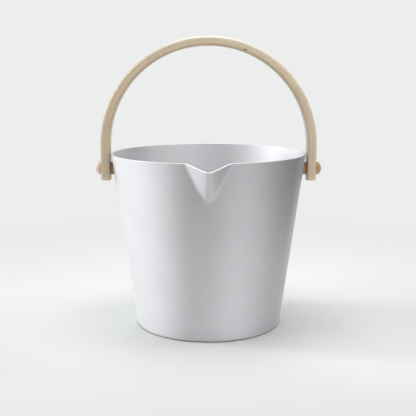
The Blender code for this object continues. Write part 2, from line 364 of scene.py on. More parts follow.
def copy_to_left(piece):
    """A copy with its own mesh, turned half round the pail."""
    use(piece)
    bpy.ops.object.duplicate()
    twin = bpy.context.object
    twin.name = piece.name.replace("right", "left")
    twin.data.name = twin.name
    bpy.ops.transform.rotate(value=math.pi, orient_axis="Z", center_override=(0, 0, 0))
    bpy.ops.object.transform_apply(location=True, rotation=True, scale=True)
    return twin


def dress(piece, material, body, node):
    """Gives a finished piece its material, and the place of the node that it stands for."""
    piece.data.materials.clear()
    piece.data.materials.append(material)
    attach(piece, body)
    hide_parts(node)


def dress_pair(piece, material, node):
    """Copies a finished piece of the right side to the left and dresses both."""
    smooth(piece)
    twin = copy_to_left(piece)
    dress(piece, material, "pail", f"{node}_right")
    dress(twin, material, "pail", f"{node}_left")


# Pail


def spin_skin(sizes):
    """The outer skin: its section is drawn beside the spout, then spun closely over the spout."""
    slope = math.atan2(sizes.rim_radius - sizes.base_radius, sizes.pail_height)
    sector = math.asin((sizes.spout_half_width + 2 * sizes.spout_crease) / sizes.rim_radius)
    spout_low = sizes.pail_height - sizes.spout_height
    spout_low -= sizes.spout_height * sizes.spout_crease / sizes.spout_half_width
    ray = Matrix.Rotation(sector, 3, "Z") @ Vector((0, -1, 0))
    base = ray * sizes.base_radius
    wall = ray * (sizes.rim_radius - sizes.base_radius) + Vector((0, 0, sizes.pail_height))
    bend = base + wall * spout_low / sizes.pail_height
    edge = base + wall * sizes.foot_height / sizes.pail_height
    foot = ray * (sizes.base_radius - sizes.foot_inset)
    hub = foot / 2
    step = foot + Vector((0, 0, sizes.foot_height))
    pail = start_line("pail", [hub, foot, step, edge, bend, base + wall])

    select_where(lambda co: (co - edge).length < WELD)
    tangent = sizes.base_fillet * math.tan((math.pi / 2 - slope) / 2)
    bpy.ops.mesh.bevel(affect="VERTICES", offset=tangent, segments=FILLET_STEPS)
    fillet_top = sizes.foot_height + tangent * math.cos(slope)
    select_where(lambda co: fillet_top - WELD < co.z < spout_low + WELD)
    bpy.ops.mesh.subdivide(number_cuts=WALL_ROWS - 1)
    select_where(lambda co: co.z > spout_low - WELD)
    bpy.ops.mesh.subdivide(number_cuts=SPOUT_ROWS - 1)

    bpy.ops.mesh.select_all(action="SELECT")
    for steps, angle in ((SPOUT_COLUMNS, 2 * sector), (WALL_COLUMNS, 2 * math.pi - 2 * sector)):
        bpy.ops.mesh.spin(steps=steps, angle=angle, center=(0, 0, 0), axis=(0, 0, 1))
    merge_doubles()
    select_where(lambda co: co.length < hub.length + WELD)
    bpy.ops.mesh.edge_face_add()
    close_mesh()
    return pail


def spout_share(place, sizes):
    """How far a point of the wall goes out with the spout: 0 on the plain wall, 1 at the lip."""
    rise = 1 - (sizes.pail_height - place.z) / sizes.spout_height
    nose = sizes.spout_nose + (sizes.spout_root - sizes.spout_nose) * max(0.0, 1 - rise)
    across = math.hypot(place.x, nose) - nose + sizes.spout_nose
    depth = rise - across / sizes.spout_half_width
    fillet = sizes.spout_crease / sizes.spout_half_width
    if place.y > 0 or depth <= -fillet:
        return 0.0
    if depth < fillet:
        depth = (depth + fillet) ** 2 / (4 * fillet)
    return depth / (1 - sizes.spout_nose / sizes.spout_half_width)


def press_spout(pail, sizes):
    """Paints each point's share of the pressing, then pushes the V out and draws its lip down."""
    group = pail.vertex_groups.new(name="spout")
    for vert in pail.data.vertices:
        group.add([vert.index], spout_share(vert.co, sizes), "REPLACE")
    for direction, travel in (("Y", sizes.spout_reach), ("Z", sizes.spout_drop)):
        apply_modifier(
            pail,
            "DISPLACE",
            direction=direction,
            strength=-travel,
            mid_level=0.0,
            vertex_group=group.name,
        )
    pail.vertex_groups.clear()


def lay_sheet(pail, sizes):
    """Stores where each point lay before the spout was pressed: its x and y, and its rise.

    The rise is the height on the wall, and below zero it is the way in across the bottom.
    """
    taper = (sizes.rim_radius - sizes.base_radius) / sizes.pail_height
    sheet = pail.data.attributes.new("sheet", "FLOAT_VECTOR", "POINT")
    for vert, place in zip(pail.data.vertices, sheet.data):
        flat = vert.co.copy()
        for _ in range(UNPRESS_STEPS):
            share = spout_share(flat, sizes)
            if share == 0:
                break
            flat = vert.co + share * Vector((0, sizes.spout_reach, sizes.spout_drop))
        inside = sizes.base_radius + taper * flat.z - 2 * sizes.wall
        place.vector = (flat.x, flat.y, flat.z + min(0, flat.xy.length - inside))


def round_rim(pail, sizes):
    """Breaks both edges of the rim."""
    use(pail)
    bpy.ops.object.mode_set(mode="EDIT")
    bpy.ops.mesh.select_all(action="DESELECT")
    bpy.ops.mesh.select_mode(type="EDGE")
    bm = bmesh.from_edit_mesh(pail.data)
    lowest = sizes.pail_height - 2 * sizes.spout_drop
    for edge in bm.edges:
        if edge.verts[0].co.z > lowest and edge.calc_face_angle(0.0) > RIM_ANGLE:
            edge.select_set(True)
    bmesh.update_edit_mesh(pail.data)
    bpy.ops.mesh.bevel(offset=sizes.rim_round, segments=RIM_STEPS)
    bpy.ops.object.mode_set(mode="OBJECT")


class BUCKET_OT_pail(Operator):
    """Model the drawn pail, press its spout and give it its wall"""

    bl_idname = "bucket.pail"
    bl_label = "Pail"

    def execute(self, context):
        sizes = context.scene.bucket_sizes
        pail = spin_skin(sizes)
        press_spout(pail, sizes)
        apply_modifier(pail, "SOLIDIFY", thickness=sizes.wall, offset=-1.0, use_even_offset=True)
        round_rim(pail, sizes)
        cut(pail, cross_bar(sizes.shank_radius + 2 * sizes.fit, LEG_INNER))
        lay_sheet(pail, sizes)
        smooth(pail)
        metal = anodised_aluminium(sizes, context.scene.bucket_colours)
        dress(pail, metal, "pail", "pail_shell")
        return {"FINISHED"}


# Bow


def tail_rings(sizes):
    """(rise, inset across the width, inset through the thickness) of rings up the end of a leg."""
    rings = []
    for i in range(TAIL_STEPS + 1):
        angle = math.pi / 2 * i / TAIL_STEPS
        rise = sizes.tail_corner * (1 - math.cos(angle))
        short = max(0.0, sizes.tail_edge - rise)
        through = sizes.tail_edge - math.sqrt(sizes.tail_edge**2 - short**2)
        rings.append((rise, sizes.tail_corner * (1 - math.sin(angle)), through))
    return rings


def spread_ring(height, across, through):
    """Widens the ring at a height, without stretching its rounded corners."""
    for axis, middle, step in ((0, LATH_RUN, through), (1, 0.0, across)):
        for side in (-1, 1):
            select_where(lambda co: abs(co.z - height) < WELD and side * (co[axis] - middle) > 0)
            move = [0.0, 0.0, 0.0]
            move[axis] = side * step
            bpy.ops.transform.translate(value=move)
    select_where(lambda co: abs(co.z - height) < WELD)


def bend_lath(sizes):
    """Half the bow: the end of a leg is drawn up its length and round to the crown, then mirrored."""
    rings = tail_rings(sizes)
    bow = start_plane("bow")
    _, across, through = rings[0]
    section = (LATH_THICKNESS - 2 * through, 2 * (LATH_HALF_WIDTH - across), 1)
    bpy.ops.transform.resize(value=section)
    bpy.ops.transform.translate(value=(LATH_RUN, 0, LATH_LOW))
    for edge, side in ((sizes.lath_back, 1), (sizes.lath_belly, -1)):
        select_where(lambda co: side * (co.x - LATH_RUN) > 0)
        bpy.ops.mesh.bevel(affect="VERTICES", offset=edge - through, segments=CORNER_STEPS)
    bpy.ops.mesh.select_all(action="SELECT")
    for low, high in zip(rings, rings[1:]):
        lift = (0, 0, high[0] - low[0])
        bpy.ops.mesh.extrude_region_move(TRANSFORM_OT_translate={"value": lift})
        spread_ring(LATH_LOW + high[0], low[1] - high[1], low[2] - high[2])
    leg = (0, 0, SPRING - LATH_LOW - rings[-1][0])
    bpy.ops.mesh.extrude_region_move(TRANSFORM_OT_translate={"value": leg})
    bpy.ops.mesh.spin(
        steps=ARCH_STEPS,
        angle=math.pi / 2,
        center=(0, 0, SPRING),
        axis=(0, 1, 0),
    )
    bpy.ops.mesh.delete(type="ONLY_FACE")
    close_mesh()
    apply_modifier(bow, "MIRROR", merge_threshold=WELD)
    return bow


def lay_grain(bow):
    """Stores where each point lies in the straight lath: along it, through it and across it."""
    grain = bow.data.attributes.new("grain", "FLOAT_VECTOR", "POINT")
    for vert, place in zip(bow.data.vertices, grain.data):
        x, y, z = vert.co
        if z > SPRING:
            run = LATH_RUN * math.atan2(x, z - SPRING)
            through = math.hypot(x, z - SPRING) - LATH_RUN
        else:
            run = math.copysign(LATH_RUN * math.pi / 2 + SPRING - z, x)
            through = abs(x) - LATH_RUN
        place.vector = (run, through, y)


class BUCKET_OT_bow(Operator):
    """Bend the lath of the handle and bore its legs"""

    bl_idname = "bucket.bow"
    bl_label = "Bow Handle"

    def execute(self, context):
        sizes = context.scene.bucket_sizes
        bow = bend_lath(sizes)
        bore = BOX["pivot_bush_right"][1].y + sizes.fit
        cut(bow, cross_bar(bore, LEG_OUTER + LATH_THICKNESS))
        lay_grain(bow)
        smooth(bow)
        birch = bent_birch(sizes, context.scene.bucket_colours)
        dress(bow, birch, "handle", "bow_handle")
        return {"FINISHED"}


# Bosses


def knob_profile(sizes):
    """Domed button with a blind socket for its threaded insert."""
    (base, _, _), (tip, radius, _) = BOX["knob_right"]
    insert = BOX["knob_insert_right"][1]
    socket = insert.y + sizes.fit
    socket_end = insert.x + sizes.seat
    edge = sizes.boss_edge
    profile = [(socket_end, 0), (socket_end, socket), (base, socket)]
    profile += arc((base + edge, radius - edge), (edge, edge), 180, 90, EDGE_STEPS)
    profile += arc((base + edge, 0), (tip - base - edge, radius), 90, 0, DOME_STEPS)[1:-1]
    return profile + [(tip, 0)]


def spacer_profile(sizes):
    """Short boss with its outer edge broken; its inner end reaches into the wall."""
    (wall, _, _), (face, radius, _) = BOX["spacer_right"]
    bore = sizes.shank_radius + sizes.fit
    edge = sizes.boss_edge
    start = wall - sizes.wall
    profile = [(start, bore), (start, radius)]
    profile += arc((face - edge, radius - edge), (edge, edge), 90, 0, EDGE_STEPS)
    return profile + [(face, bore)]


class BUCKET_OT_bosses(Operator):
    """Turn the wooden spacers and knobs on both sides"""

    bl_idname = "bucket.bosses"
    bl_label = "Spacers and Knobs"

    def execute(self, context):
        sizes = context.scene.bucket_sizes
        wood = turned_alder(context.scene.bucket_colours)
        dress_pair(turn_piece("boss_knob_right", knob_profile(sizes), bored=False), wood, "knob")
        spacer = turn_piece("boss_spacer_right", spacer_profile(sizes), bored=True)
        cut(spacer, pail_cone(sizes, sizes.seat))
        dress_pair(spacer, wood, "spacer")
        return {"FINISHED"}


# Screws


def screw_profile(sizes):
    """Button head inside the pail, shank out to the insert in the knob."""
    (head, _, _), (end, radius, _) = BOX["pivot_screw_right"]
    seat = BOX["flat_washer_right"][0].x - sizes.seat
    flat = sizes.drive_flats / math.sqrt(3) + sizes.drive_land
    profile = [(head, 0)]
    profile += arc((seat, flat), (seat - head, radius - flat), 180, 90, DOME_STEPS)
    return profile + [(seat, sizes.shank_radius), (end, sizes.shank_radius), (end, 0)]


def ring_profile(inner, outer, bore, radius, edge):
    """A washer with every edge broken."""
    return [
        (inner, bore + edge),
        (inner, radius - edge),
        (inner + edge, radius),
        (outer - edge, radius),
        (outer, radius - edge),
        (outer, bore + edge),
        (outer - edge, bore),
        (inner + edge, bore),
    ]


class BUCKET_OT_screws(Operator):
    """Make the pivot screws with their washers and seals on both sides"""

    bl_idname = "bucket.screws"
    bl_label = "Pivot Screws"

    def execute(self, context):
        sizes = context.scene.bucket_sizes
        colours = context.scene.bucket_colours
        steel = stainless_steel(colours)
        bore = sizes.shank_radius + sizes.fit

        screw = turn_piece("button_screw_right", screw_profile(sizes), bored=False)
        socket_end = BOX["pivot_screw_right"][0].x + sizes.drive_depth
        cut(screw, cross_bar(sizes.drive_flats / math.sqrt(3), socket_end, 6))
        dress_pair(screw, steel, "pivot_screw")

        (inner, _, _), (outer, radius, _) = BOX["flat_washer_right"]
        profile = ring_profile(inner, outer, bore, radius, sizes.washer_edge)
        dress_pair(turn_piece("screw_washer_right", profile, bored=True), steel, "flat_washer")

        (inner, _, _), (outer, radius, _) = BOX["seal_washer_right"]
        profile = ring_profile(inner, outer + sizes.wall, bore, radius, sizes.washer_edge)
        seal = turn_piece("screw_seal_right", profile, bored=True)
        slope = math.atan2(sizes.rim_radius - sizes.base_radius, sizes.pail_height)
        cut(seal, pail_cone(sizes, -sizes.wall / math.cos(slope) - sizes.seat), "INTERSECT")
        dress_pair(seal, seal_rubber(colours), "seal_washer")
        return {"FINISHED"}


class BUCKET_OT_brasses(Operator):
    """Give the sleeve bushes and threaded inserts their turned brass"""

    bl_idname = "bucket.brasses"
    bl_label = "Bushes and Inserts"

    def execute(self, context):
        brass = turned_brass(context.scene.bucket_colours)
        for side in ("right", "left"):
            for node in ("pivot_bush", "knob_insert"):
                mesh = frame["nodes"][f"{node}_{side}"].data
                mesh.materials.clear()
                mesh.materials.append(brass)
        return {"FINISHED"}


# Finishes


def feed(tree, node, inputs):
    """Gives each input its value, or its link from a socket or from a node's first output."""
    for key, source in inputs.items():
        if isinstance(key, int):
            socket = node.inputs[key]
        else:
            socket = next(s for s in node.inputs if s.enabled and s.name == key)
        if isinstance(source, bpy.types.Node):
            source = next(s for s in source.outputs if s.enabled)
        if isinstance(source, bpy.types.NodeSocket):
            tree.links.new(source, socket)
        else:
            socket.default_value = source


def add_node(tree, kind, inputs, **settings):
    """Adds a node with its settings, and feeds its inputs."""
    node = tree.nodes.new(kind)
    for name, value in settings.items():
        setattr(node, name, value)
    feed(tree, node, inputs)
    return node


def new_finish(name, metallic):
    """A Principled material with its tree and shader."""
    material = bpy.data.materials.new(name)
    material.use_nodes = True
    shader = material.node_tree.nodes["Principled BSDF"]
    shader.inputs["Metallic"].default_value = metallic
    return material, material.node_tree, shader


def rgba(shade):
    return (*shade, 1.0)


def per_metre(*sizes):
    """Scales that give a pattern the stated sizes in metres."""
    return [1 / size for size in sizes]


def anodised_aluminium(sizes, colours):
    """Drawn aluminium sheet, brushed round the pail and clear anodised.

    The eye gets a soft satin sheen with faint lines round the wall, a slight mottle, a rim worn bare
    and painted shade in the seam under the wall.
    """
    material, tree, shader = new_finish("anodised_aluminium", metallic=1.0)
    sheet = add_node(tree, "ShaderNodeAttribute", {}, attribute_name="sheet").outputs["Vector"]
    rise = add_node(tree, "ShaderNodeSeparateXYZ", {"Vector": sheet}).outputs["Z"]
    # The real brushing is about 0.2 mm apart, which is drawn coarser so that it shows
    round_wall = add_node(
        tree,
        "ShaderNodeMapping",
        {"Vector": sheet, "Scale": per_metre(0.160, 0.160, 0.0016)},
    )
    lines = add_node(
        tree,
        "ShaderNodeTexNoise",
        {"Vector": round_wall, "Scale": 1.0, "Detail": 3.0, "Roughness": 0.6},
    )
    # The mottle of the anodising is about 30 mm across
    mottle = add_node(tree, "ShaderNodeTexNoise", {"Vector": sheet, "Scale": 1 / 0.030, "Detail": 3.0})
    line_shade = add_node(
        tree,
        "ShaderNodeMapRange",
        {"Value": lines, "From Min": 0.3, "From Max": 0.7, "To Min": 0.98, "To Max": 1.02},
    )
    mottle_shade = add_node(
        tree,
        "ShaderNodeMapRange",
        {"Value": mottle, "From Min": 0.3, "From Max": 0.7, "To Min": 0.98, "To Max": 1.02},
    )
    shade = add_node(tree, "ShaderNodeMath", {0: line_shade, 1: mottle_shade}, operation="MULTIPLY")
    # Painted shade darkens the seam between the wall and the floor
    place = add_node(tree, "ShaderNodeTexCoord", {}).outputs["Object"]
    above_floor = add_node(tree, "ShaderNodeSeparateXYZ", {"Vector": place}).outputs["Z"]
    seam = sizes.foot_height
    painted_seam_shade = add_node(
        tree,
        "ShaderNodeMapRange",
        {"Value": above_floor, "From Min": seam, "From Max": SEAM_FADE * seam, "To Min": 0.1},
    )
    seam_shade = add_node(tree, "ShaderNodeMath", {0: shade, 1: painted_seam_shade}, operation="MULTIPLY")
    sheen = add_node(
        tree,
        "ShaderNodeVectorMath",
        {0: colours.aluminium, "Scale": seam_shade},
        operation="SCALE",
    )
    rubbed_and_highlit = add_node(
        tree,
        "ShaderNodeMapRange",
        {"Value": rise, "From Min": RUBBED_FROM, "From Max": RUBBED_TO},
    )
    bright = add_node(
        tree,
        "ShaderNodeMix",
        {"Factor": rubbed_and_highlit, "A": sheen, "B": rgba(colours.rubbed_rim)},
        data_type="RGBA",
    )
    satin = add_node(
        tree,
        "ShaderNodeMapRange",
        {"Value": lines, "From Min": 0.3, "From Max": 0.7, "To Min": 0.56, "To Max": 0.62},
    )
    bump = add_node(tree, "ShaderNodeBump", {"Height": lines, "Strength": 0.05, "Distance": 0.0001})
    # The lines run level, so they spread a reflection up and down the wall
    upright = add_node(tree, "ShaderNodeCombineXYZ", {"Z": 1.0})
    feed(
        tree,
        shader,
        {"Base Color": bright, "Roughness": satin, "Normal": bump, "Anisotropic": 0.6, "Tangent": upright},
    )
    return material


def bent_birch(sizes, colours):
    """Steam-bent birch lath, sanded and oiled matt.

    The eye gets an even pale tan with fine lines along the bend, short pores, and one bark fleck,
    darker on the legs, with painted shade in brown on the belly and a painted highlight along the outer
    edges.
    """
    material, tree, shader = new_finish("bent_birch", metallic=0.0)
    lath = add_node(tree, "ShaderNodeAttribute", {}, attribute_name="grain").outputs["Vector"]
    # Growth lines of 0.5 mm are drawn coarser so that they show
    long_grain = add_node(
        tree, "ShaderNodeMapping", {"Vector": lath, "Scale": per_metre(0.130, 0.0022, 0.0026)}
    )
    lines = add_node(
        tree,
        "ShaderNodeTexNoise",
        {"Vector": long_grain, "Scale": 1.0, "Detail": 3.0, "Roughness": 0.6},
    )
    broad_grain = add_node(
        tree, "ShaderNodeMapping", {"Vector": lath, "Scale": per_metre(0.180, 0.006, 0.012)}
    )
    bands = add_node(tree, "ShaderNodeTexNoise", {"Vector": broad_grain, "Scale": 1.0, "Detail": 2.0})
    tone = add_node(tree, "ShaderNodeMath", {0: lines, 1: bands}, operation="ADD")
    late = add_node(tree, "ShaderNodeMapRange", {"Value": tone, "From Min": 0.75, "From Max": 1.25})
    wood = add_node(
        tree,
        "ShaderNodeMix",
        {"Factor": late, "A": rgba(colours.lath_pale), "B": rgba(colours.lath_dark)},
        data_type="RGBA",
    )
    # Pores of 0.1 mm are drawn coarser too
    short_grain = add_node(
        tree, "ShaderNodeMapping", {"Vector": lath, "Scale": per_metre(0.014, 0.0012, 0.0014)}
    )
    specks = add_node(tree, "ShaderNodeTexNoise", {"Vector": short_grain, "Scale": 1.0, "Detail": 1.0})
    pores = add_node(
        tree,
        "ShaderNodeMapRange",
        {"Value": specks, "From Min": 0.58, "From Max": 0.75, "To Max": 0.25},
    )
    pored = add_node(
        tree,
        "ShaderNodeMix",
        {"Factor": pores, "A": wood, "B": rgba(colours.lath_pore)},
        data_type="RGBA",
    )
    from_fleck = add_node(tree, "ShaderNodeVectorMath", {0: lath, 1: FLECK_PLACE}, operation="SUBTRACT")
    in_fleck = add_node(tree, "ShaderNodeVectorMath", {0: from_fleck, 1: FLECK_SIZE}, operation="DIVIDE")
    reach = add_node(tree, "ShaderNodeVectorMath", {0: in_fleck}, operation="LENGTH").outputs["Value"]
    ragged = add_node(tree, "ShaderNodeMath", {0: reach, 1: specks}, operation="ADD")
    fleck = add_node(
        tree,
        "ShaderNodeMapRange",
        {"Value": ragged, "From Min": 1.5, "From Max": 1.1, "To Max": 0.9},
    )
    flecked = add_node(
        tree,
        "ShaderNodeMix",
        {"Factor": fleck, "A": pored, "B": rgba(colours.lath_fleck)},
        data_type="RGBA",
    )
    matt = add_node(
        tree,
        "ShaderNodeMapRange",
        {"Value": lines, "From Min": 0.3, "From Max": 0.7, "To Min": 0.28, "To Max": 0.38},
    )
    bump = add_node(tree, "ShaderNodeBump", {"Height": lines, "Strength": 0.10, "Distance": 0.0002})
    # The legs are drawn darker than the crown, and painted shade in a brown tone darkens the belly, most
    # round the crown
    spread = add_node(tree, "ShaderNodeSeparateXYZ", {"Vector": lath})
    run = add_node(tree, "ShaderNodeMath", {0: spread.outputs["X"]}, operation="ABSOLUTE")
    legs = add_node(
        tree,
        "ShaderNodeMapRange",
        {"Value": run, "From Min": LEGS_DARKER_RUN[0], "From Max": LEGS_DARKER_RUN[1], "To Min": 1.0, "To Max": 0.89},
    )
    darker_legs = add_node(tree, "ShaderNodeVectorMath", {0: flecked, "Scale": legs}, operation="SCALE")
    brown = add_node(
        tree,
        "ShaderNodeMapRange",
        {"Value": run, "From Min": BELLY_SHADE_RUN[0], "From Max": BELLY_SHADE_RUN[1], "To Min": 0.55, "To Max": 0.30},
    )
    # Painted shade: the belly of the bow is drawn darker and browner
    belly = add_node(
        tree,
        "ShaderNodeMapRange",
        {
            "Value": spread.outputs["Y"],
            "From Min": BELLY_DEPTH[0],
            "From Max": BELLY_DEPTH[1],
            "To Max": brown,
        },
    )
    belly_shaded = add_node(
        tree,
        "ShaderNodeMix",
        {"Factor": belly, "A": darker_legs, "B": rgba(colours.lath_belly_shade)},
        data_type="RGBA",
    )
    # A painted highlight makes the outer edges paler, most at the crown and in the middle of their round
    crown_highlight = add_node(
        tree,
        "ShaderNodeMapRange",
        {"Value": run, "From Min": EDGE_HIGHLIGHT_RUN[0], "From Max": EDGE_HIGHLIGHT_RUN[1], "To Min": 0.8, "To Max": 0.0},
    )
    across = add_node(tree, "ShaderNodeMath", {0: spread.outputs["Z"]}, operation="ABSOLUTE")
    outwards = add_node(tree, "ShaderNodeMath", {0: across, 1: spread.outputs["Y"]}, operation="ADD")
    corner = LATH_HALF_WIDTH + LATH_THICKNESS / 2
    edge_highlight_mask = add_node(
        tree,
        "ShaderNodeMapRange",
        {
            "Value": outwards,
            "From Min": corner - sizes.lath_back,
            "From Max": corner - sizes.lath_back * (2 - math.sqrt(2)),
            "To Max": crown_highlight,
        },
    )
    rubbed_and_highlit = add_node(
        tree,
        "ShaderNodeMix",
        {"Factor": edge_highlight_mask, "A": belly_shaded, "B": rgba(colours.lath_edge_highlight)},
        data_type="RGBA",
    )
    feed(tree, shader, {"Base Color": rubbed_and_highlit, "Roughness": matt, "IOR": 1.6, "Normal": bump})
    return material


def turned_alder(colours):
    """Alder turned on a lathe and oiled.

    The eye gets a warm brown, redder than the lath, with growth rings across the ends and fine fibres,
    painted shade on the spacers and painted light on the left knob.
    """
    material, tree, shader = new_finish("turned_alder", metallic=0.0)
    place = add_node(tree, "ShaderNodeTexCoord", {}).outputs["Object"]
    # Growth rings about a heart that lies below the bosses
    from_heart = add_node(
        tree,
        "ShaderNodeMapping",
        {
            "Vector": place,
            "Location": -ALDER_HEART / ALDER_RING,
            "Scale": per_metre(0.030, ALDER_RING, ALDER_RING),
        },
    )
    rings = add_node(
        tree,
        "ShaderNodeTexWave",
        {"Vector": from_heart, "Scale": WAVE_UNIT, "Distortion": 2.5, "Detail": 2.0, "Detail Scale": 1.0},
        wave_type="RINGS",
        rings_direction="X",
    ).outputs["Fac"]
    along = add_node(
        tree, "ShaderNodeMapping", {"Vector": place, "Scale": per_metre(0.006, 0.0007, 0.0007)}
    )
    fibres = add_node(tree, "ShaderNodeTexNoise", {"Vector": along, "Scale": 1.0, "Detail": 3.0})
    tone = add_node(tree, "ShaderNodeMath", {0: rings, 1: fibres}, operation="ADD")
    late = add_node(tree, "ShaderNodeMapRange", {"Value": tone, "From Min": 0.5, "From Max": 1.4})
    wood = add_node(
        tree,
        "ShaderNodeMix",
        {"Factor": late, "A": rgba(colours.boss_pale), "B": rgba(colours.boss_dark)},
        data_type="RGBA",
    )
    oiled = add_node(
        tree,
        "ShaderNodeMapRange",
        {"Value": fibres, "From Min": 0.3, "From Max": 0.7, "To Min": 0.28, "To Max": 0.42},
    )
    bump = add_node(tree, "ShaderNodeBump", {"Height": fibres, "Strength": 0.2, "Distance": 0.0001})
    # Painted shade darkens the spacers between the wall and the legs, and the knobs are drawn a little
    # lighter
    side = add_node(tree, "ShaderNodeSeparateXYZ", {"Vector": place}).outputs["X"]
    out = add_node(tree, "ShaderNodeMath", {0: side}, operation="ABSOLUTE")
    spacer_shade = add_node(
        tree,
        "ShaderNodeMapRange",
        {"Value": out, "From Min": LEG_INNER, "From Max": LEG_OUTER, "To Min": 0.72, "To Max": 1.05},
    )
    spacer_shaded = add_node(tree, "ShaderNodeVectorMath", {0: wood, "Scale": spacer_shade}, operation="SCALE")
    # Painted light makes the left knob paler than the right one
    left_knob_light = add_node(
        tree,
        "ShaderNodeMapRange",
        {"Value": side, "From Min": -LEG_INNER, "From Max": -LEG_OUTER, "To Max": 0.65},
    )
    bosses_shaded_and_lit = add_node(
        tree,
        "ShaderNodeMix",
        {"Factor": left_knob_light, "A": spacer_shaded, "B": rgba(colours.boss_left_light)},
        data_type="RGBA",
    )
    feed(tree, shader, {"Base Color": bosses_shaded_and_lit, "Roughness": oiled, "Normal": bump})
    return material


def stainless_steel(colours):
    """Stainless steel, turned and lightly brushed.

    The eye gets a grey shine with fine rings round the axis and a little handling haze.
    """
    material, tree, shader = new_finish("stainless_steel", metallic=1.0)
    place = add_node(tree, "ShaderNodeTexCoord", {}).outputs["Object"]
    from_axis = add_node(tree, "ShaderNodeMapping", {"Vector": place, "Location": -PIVOT, "Scale": (0, 1, 1)})
    radius = add_node(tree, "ShaderNodeVectorMath", {0: from_axis}, operation="LENGTH").outputs["Value"]
    # Tool marks of 0.1 mm are drawn at 0.4 mm so that they show
    marks = add_node(
        tree,
        "ShaderNodeTexNoise",
        {"W": radius, "Scale": 1 / 0.0004, "Detail": 2.0},
        noise_dimensions="1D",
    )
    haze = add_node(tree, "ShaderNodeTexNoise", {"Vector": place, "Scale": 1 / 0.002, "Detail": 3.0})
    shade = add_node(
        tree,
        "ShaderNodeMapRange",
        {"Value": haze, "From Min": 0.3, "From Max": 0.7, "To Min": 0.88, "To Max": 1.05},
    )
    grey = add_node(tree, "ShaderNodeVectorMath", {0: colours.steel, "Scale": shade}, operation="SCALE")
    worn = add_node(
        tree,
        "ShaderNodeMapRange",
        {"Value": marks, "From Min": 0.3, "From Max": 0.7, "To Min": 0.24, "To Max": 0.40},
    )
    bump = add_node(tree, "ShaderNodeBump", {"Height": marks, "Strength": 0.15, "Distance": 0.00005})
    feed(tree, shader, {"Base Color": grey, "Roughness": worn, "Normal": bump})
    return material


def turned_brass(colours):
    """Free-cutting brass, turned and left bare.

    The eye gets a yellow shine with rings along the axis, and brown tarnish in patches.
    """
    material, tree, shader = new_finish("turned_brass", metallic=1.0)
    place = add_node(tree, "ShaderNodeTexCoord", {}).outputs["Object"]
    # Tool marks of 0.15 mm are drawn at 0.5 mm so that they show
    along = add_node(tree, "ShaderNodeMapping", {"Vector": place, "Scale": per_metre(0.0005, 0.02, 0.02)})
    marks = add_node(tree, "ShaderNodeTexNoise", {"Vector": along, "Scale": 1.0, "Detail": 2.0})
    patches = add_node(tree, "ShaderNodeTexNoise", {"Vector": place, "Scale": 1 / 0.0025, "Detail": 4.0})
    tarnish = add_node(
        tree,
        "ShaderNodeMapRange",
        {"Value": patches, "From Min": 0.45, "From Max": 0.75, "To Max": 0.6},
    )
    metal = add_node(
        tree,
        "ShaderNodeMix",
        {"Factor": tarnish, "A": rgba(colours.brass), "B": rgba(colours.tarnish)},
        data_type="RGBA",
    )
    worn = add_node(
        tree,
        "ShaderNodeMapRange",
        {"Value": patches, "From Min": 0.3, "From Max": 0.7, "To Min": 0.22, "To Max": 0.45},
    )
    bump = add_node(tree, "ShaderNodeBump", {"Height": marks, "Strength": 0.15, "Distance": 0.00005})
    feed(tree, shader, {"Base Color": metal, "Roughness": worn, "Normal": bump})
    return material


def seal_rubber(colours):
    """Moulded nitrile rubber.

    The eye gets a matt black with a fine moulded grain and a grey bloom.
    """
    material, tree, shader = new_finish("seal_rubber", metallic=0.0)
    place = add_node(tree, "ShaderNodeTexCoord", {}).outputs["Object"]
    grain = add_node(tree, "ShaderNodeTexNoise", {"Vector": place, "Scale": 1 / 0.0004, "Detail": 2.0})
    bloom = add_node(tree, "ShaderNodeTexNoise", {"Vector": place, "Scale": 1 / 0.003, "Detail": 3.0})
    dusty = add_node(
        tree,
        "ShaderNodeMapRange",
        {"Value": bloom, "From Min": 0.4, "From Max": 0.75, "To Max": 0.5},
    )
    black = add_node(
        tree,
        "ShaderNodeMix",
        {"Factor": dusty, "A": rgba(colours.rubber), "B": rgba(colours.bloom)},
        data_type="RGBA",
    )
    matt = add_node(
        tree,
        "ShaderNodeMapRange",
        {"Value": grain, "From Min": 0.3, "From Max": 0.7, "To Min": 0.60, "To Max": 0.78},
    )
    bump = add_node(tree, "ShaderNodeBump", {"Height": grain, "Strength": 0.2, "Distance": 0.00008})
    feed(tree, shader, {"Base Color": black, "Roughness": matt, "Normal": bump})
    return material


# Stage


def seen_directly(tree):
    """1 for a ray that shows the studio itself, 0 for one that only carries its light."""
    rays = add_node(tree, "ShaderNodeLightPath", {}).outputs
    mirrored = add_node(
        tree,
        "ShaderNodeMath",
        {0: rays["Is Glossy Ray"], 1: rays["Is Transmission Ray"]},
        operation="MAXIMUM",
    )
    return add_node(tree, "ShaderNodeMath", {0: rays["Is Camera Ray"], 1: mirrored}, operation="MAXIMUM")


